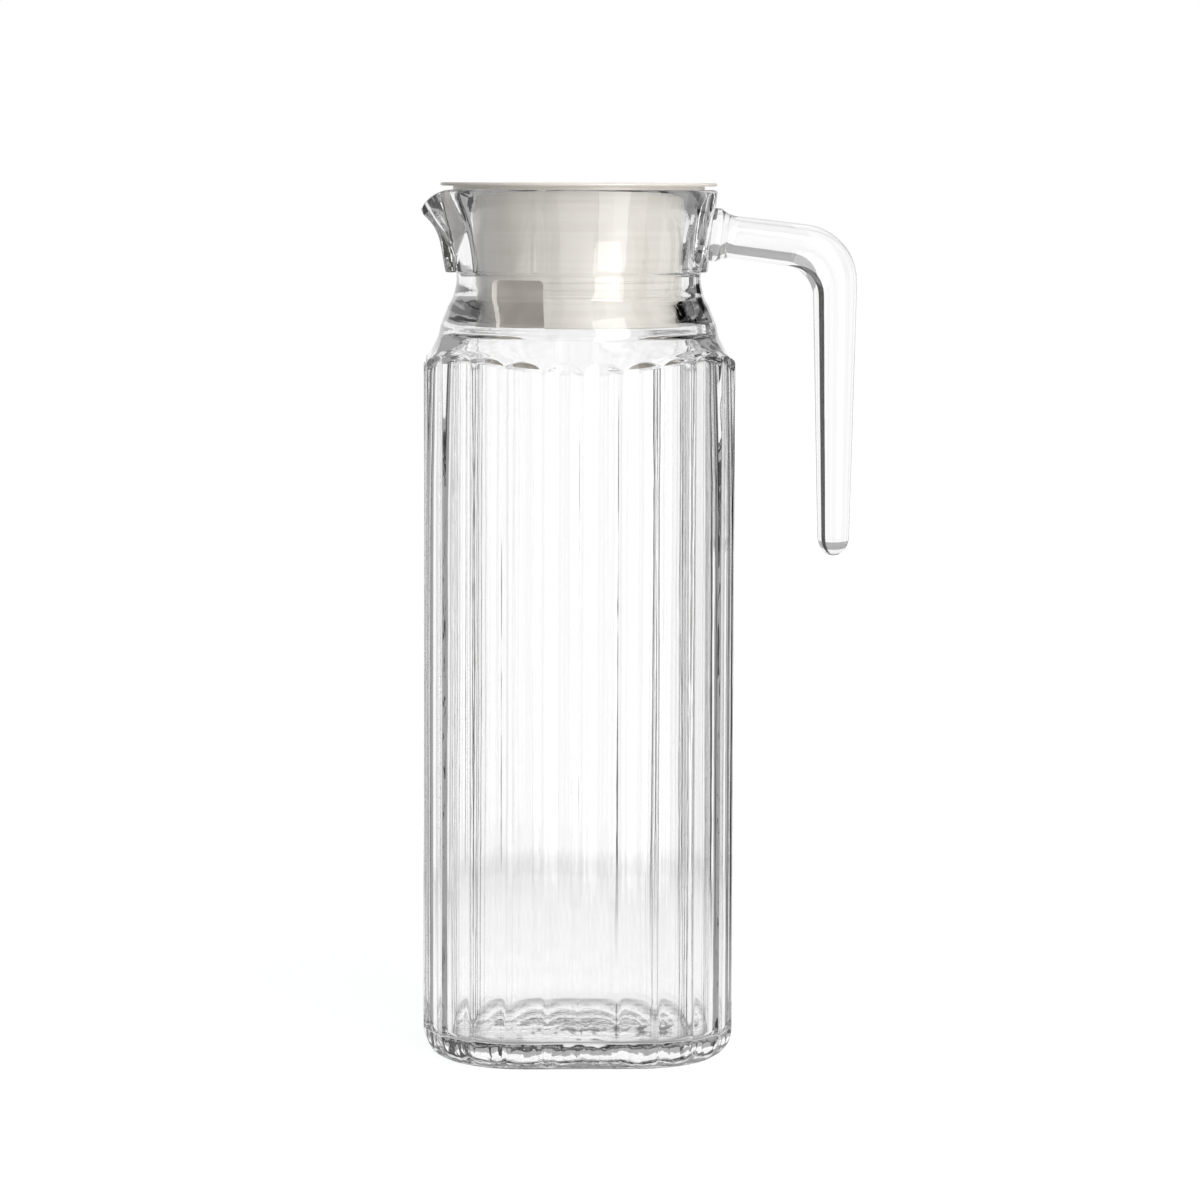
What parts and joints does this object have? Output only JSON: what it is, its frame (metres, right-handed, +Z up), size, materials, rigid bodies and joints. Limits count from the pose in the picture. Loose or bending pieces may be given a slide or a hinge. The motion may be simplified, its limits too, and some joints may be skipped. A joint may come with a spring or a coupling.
{
  "type": "glass pitcher with lid",
  "caption": "Square fluted glass jug for chilled drinks, with a pouring spout, an open hook handle and a plastic plug lid that turns to open its pouring window.",
  "frame": {"origin": "centre of the base, on the plane the jug stands on", "axes": "+Z up along the body's axis, -X towards the spout, +X towards the handle"},
  "size_m": [0.1287, 0.091, 0.2562],
  "materials": {
    "jug_body": "clear pressed glass, fire polished",
    "handle": "clear pressed glass, fire polished",
    "lid": "cream moulded plastic, satin gloss"
  },
  "bodies": {
    "jug": {"jug_body": "jug_body", "handle": "handle"},
    "lid": {"lid": "lid"}
  },
  "joints": [
    {"name": "lid_lift", "type": "slide", "parent": "jug", "child": "lid", "axis": [0, 0, 1], "range_m": [0, 0.05]}
  ]
}
